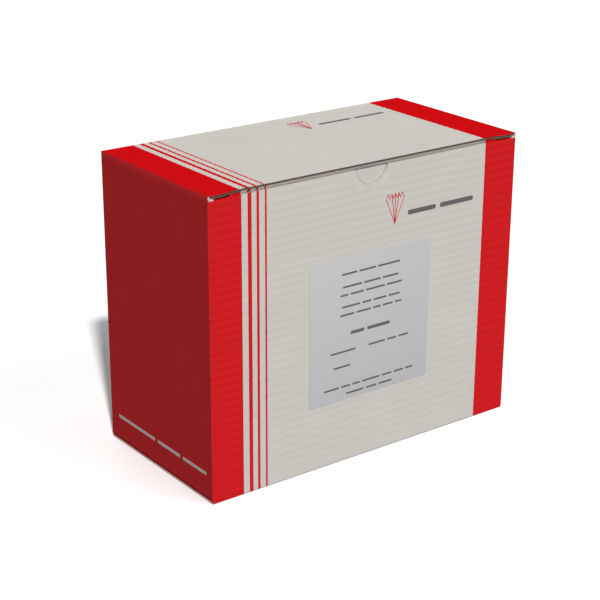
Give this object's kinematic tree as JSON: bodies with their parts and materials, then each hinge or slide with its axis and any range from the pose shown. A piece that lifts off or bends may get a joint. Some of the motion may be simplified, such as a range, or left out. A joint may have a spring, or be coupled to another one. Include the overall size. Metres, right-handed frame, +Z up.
{
  "type": "filter paper carton",
  "caption": "Tuck-top carton of corrugated board with a hinged lid, holding a nested pile of pleated round filter papers.",
  "frame": {"origin": "middle of the closed carton's bottom", "axes": "+X to the right along the front, +Y from the front to the back, +Z up"},
  "size_m": [0.2, 0.1001, 0.1629],
  "materials": {
    "carton_board": "matt",
    "lid_board": "matt",
    "label_paper": "satin",
    "filter_paper": "matt"
  },
  "bodies": {
    "carton_body": {"carton": "carton_board", "label": "label_paper", "filter_stack": "filter_paper", "top_filter": "filter_paper"},
    "lid_body": {"lid": "lid_board"}
  },
  "joints": [
    {"name": "lid_hinge", "type": "hinge", "parent": "carton_body", "child": "lid_body", "pos_m": [0, 0.04977, 0.16271], "axis": [-1, 0, 0], "range_deg": [0, 180]}
  ]
}
